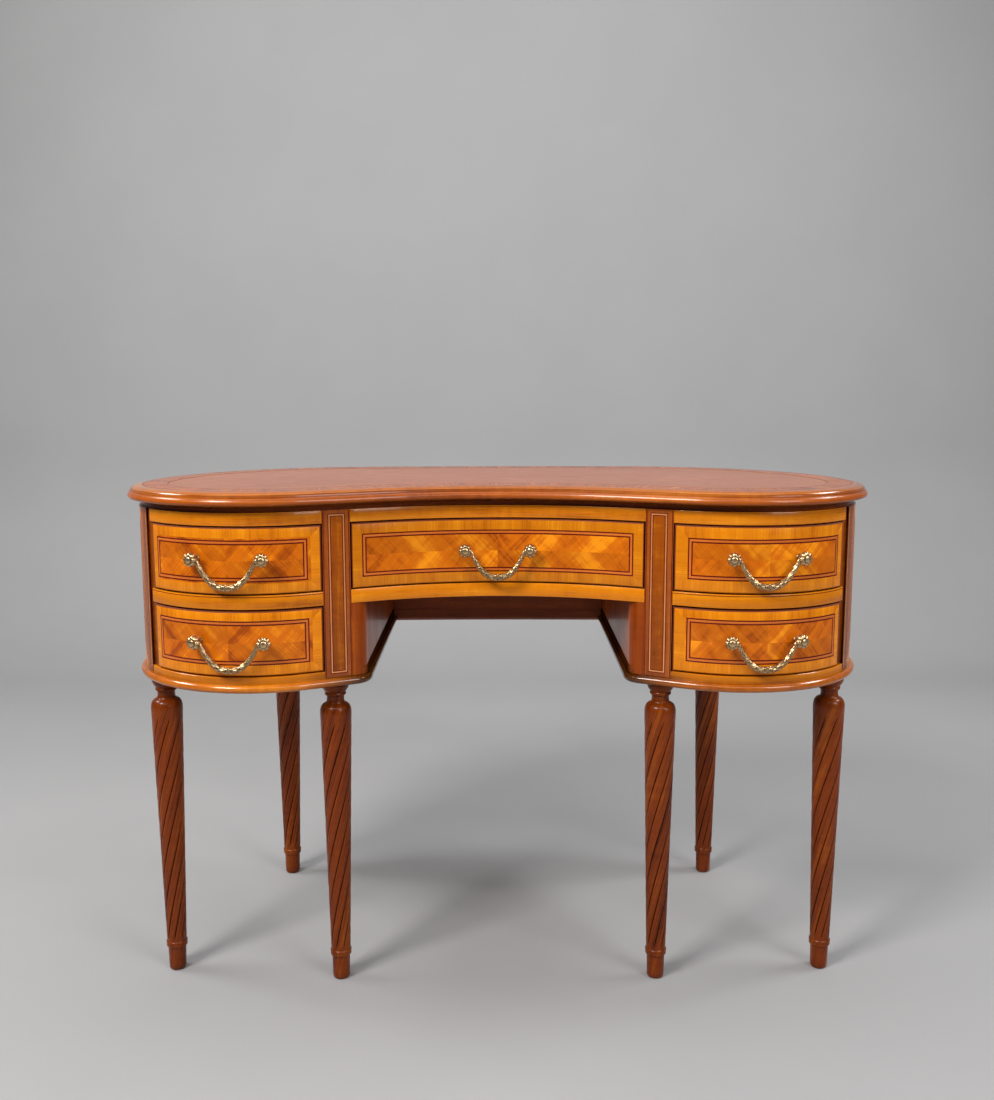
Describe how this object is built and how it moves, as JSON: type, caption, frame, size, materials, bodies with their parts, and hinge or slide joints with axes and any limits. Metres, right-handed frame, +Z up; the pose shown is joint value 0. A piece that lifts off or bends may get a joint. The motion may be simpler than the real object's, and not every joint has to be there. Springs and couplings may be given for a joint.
{
  "type": "kidney-shaped writing desk",
  "caption": "Kidney-shaped inlaid writing desk with bow-fronted pedestals, a hollow-fronted kneehole drawer, brass drop handles and spirally fluted tapering legs.",
  "frame": {"origin": "on the floor, under the centre of the bounding box", "axes": "+X to the right of someone facing the drawers, +Y from the drawers to the back, +Z up"},
  "size_m": [1.147, 0.5737, 0.762],
  "materials": {
    "satinwood": "french polished golden veneer with dark stringing",
    "mahogany": "french polished red-brown wood",
    "oak": "plain unpolished lining wood",
    "hide": "worn tan writing leather",
    "brass": "aged cast brass, dark in the recesses"
  },
  "bodies": {
    "carcass": {"back_panel": "satinwood", "back_plinth": "satinwood", "base_board_left": "satinwood", "base_board_right": "satinwood", "center_rail": "satinwood", "center_runner_left": "oak", "center_runner_right": "oak", "inner_panel_left": "satinwood", "inner_panel_right": "satinwood", "inner_post_left": "mahogany", "inner_post_right": "mahogany", "leg_front_inner_left": "mahogany", "leg_front_inner_right": "mahogany", "leg_front_outer_left": "mahogany", "leg_front_outer_right": "mahogany", "leg_rear_left": "mahogany", "leg_rear_right": "mahogany", "mid_board_left": "satinwood", "mid_board_right": "satinwood", "outer_panel_left": "satinwood", "outer_panel_right": "satinwood", "outer_post_left": "mahogany", "outer_post_right": "mahogany", "top_board": "mahogany", "top_rail_center": "satinwood", "top_rail_left": "satinwood", "top_rail_right": "satinwood", "writing_leather": "hide"},
    "drawer_upper_left": {"drawer_upper_left_front": "satinwood", "drawer_upper_left_box": "oak", "drawer_upper_left_bottom": "oak", "drawer_upper_left_post_left": "brass", "drawer_upper_left_post_right": "brass"},
    "handle_upper_left": {"drawer_upper_left_bail": "brass"},
    "drawer_upper_right": {"drawer_upper_right_front": "satinwood", "drawer_upper_right_box": "oak", "drawer_upper_right_bottom": "oak", "drawer_upper_right_post_left": "brass", "drawer_upper_right_post_right": "brass"},
    "handle_upper_right": {"drawer_upper_right_bail": "brass"},
    "drawer_lower_left": {"drawer_lower_left_front": "satinwood", "drawer_lower_left_box": "oak", "drawer_lower_left_bottom": "oak", "drawer_lower_left_post_left": "brass", "drawer_lower_left_post_right": "brass"},
    "handle_lower_left": {"drawer_lower_left_bail": "brass"},
    "drawer_lower_right": {"drawer_lower_right_front": "satinwood", "drawer_lower_right_box": "oak", "drawer_lower_right_bottom": "oak", "drawer_lower_right_post_left": "brass", "drawer_lower_right_post_right": "brass"},
    "handle_lower_right": {"drawer_lower_right_bail": "brass"},
    "drawer_center": {"drawer_center_front": "satinwood", "drawer_center_box": "oak", "drawer_center_bottom": "oak", "drawer_center_post_left": "brass", "drawer_center_post_right": "brass"},
    "handle_center": {"drawer_center_bail": "brass"}
  },
  "joints": [
    {"name": "drawer_upper_left_slide", "type": "slide", "parent": "carcass", "child": "drawer_upper_left", "axis": [0, -1, 0], "range_m": [0, 0.22]},
    {"name": "handle_upper_left_swing", "type": "hinge", "parent": "drawer_upper_left", "child": "handle_upper_left", "pos_m": [-0.38527, -0.27531, 0.6658], "axis": [-0.9954, 0.0962, 0], "range_deg": [-4, 100]},
    {"name": "drawer_upper_right_slide", "type": "slide", "parent": "carcass", "child": "drawer_upper_right", "axis": [0, -1, 0], "range_m": [0, 0.22]},
    {"name": "handle_upper_right_swing", "type": "hinge", "parent": "drawer_upper_right", "child": "handle_upper_right", "pos_m": [0.38527, -0.27531, 0.6658], "axis": [-0.9954, -0.0962, 0], "range_deg": [-4, 100]},
    {"name": "drawer_lower_left_slide", "type": "slide", "parent": "carcass", "child": "drawer_lower_left", "axis": [0, -1, 0], "range_m": [0, 0.22]},
    {"name": "handle_lower_left_swing", "type": "hinge", "parent": "drawer_lower_left", "child": "handle_lower_left", "pos_m": [-0.38527, -0.27531, 0.5456], "axis": [-0.9954, 0.0962, 0], "range_deg": [-4, 100]},
    {"name": "drawer_lower_right_slide", "type": "slide", "parent": "carcass", "child": "drawer_lower_right", "axis": [0, -1, 0], "range_m": [0, 0.22]},
    {"name": "handle_lower_right_swing", "type": "hinge", "parent": "drawer_lower_right", "child": "handle_lower_right", "pos_m": [0.38527, -0.27531, 0.5456], "axis": [-0.9954, -0.0962, 0], "range_deg": [-4, 100]},
    {"name": "drawer_center_slide", "type": "slide", "parent": "carcass", "child": "drawer_center", "axis": [0, -1, 0], "range_m": [0, 0.3]},
    {"name": "handle_center_swing", "type": "hinge", "parent": "drawer_center", "child": "handle_center", "pos_m": [0, -0.1767, 0.6645], "axis": [-1, 0, 0], "range_deg": [-4, 100]}
  ]
}
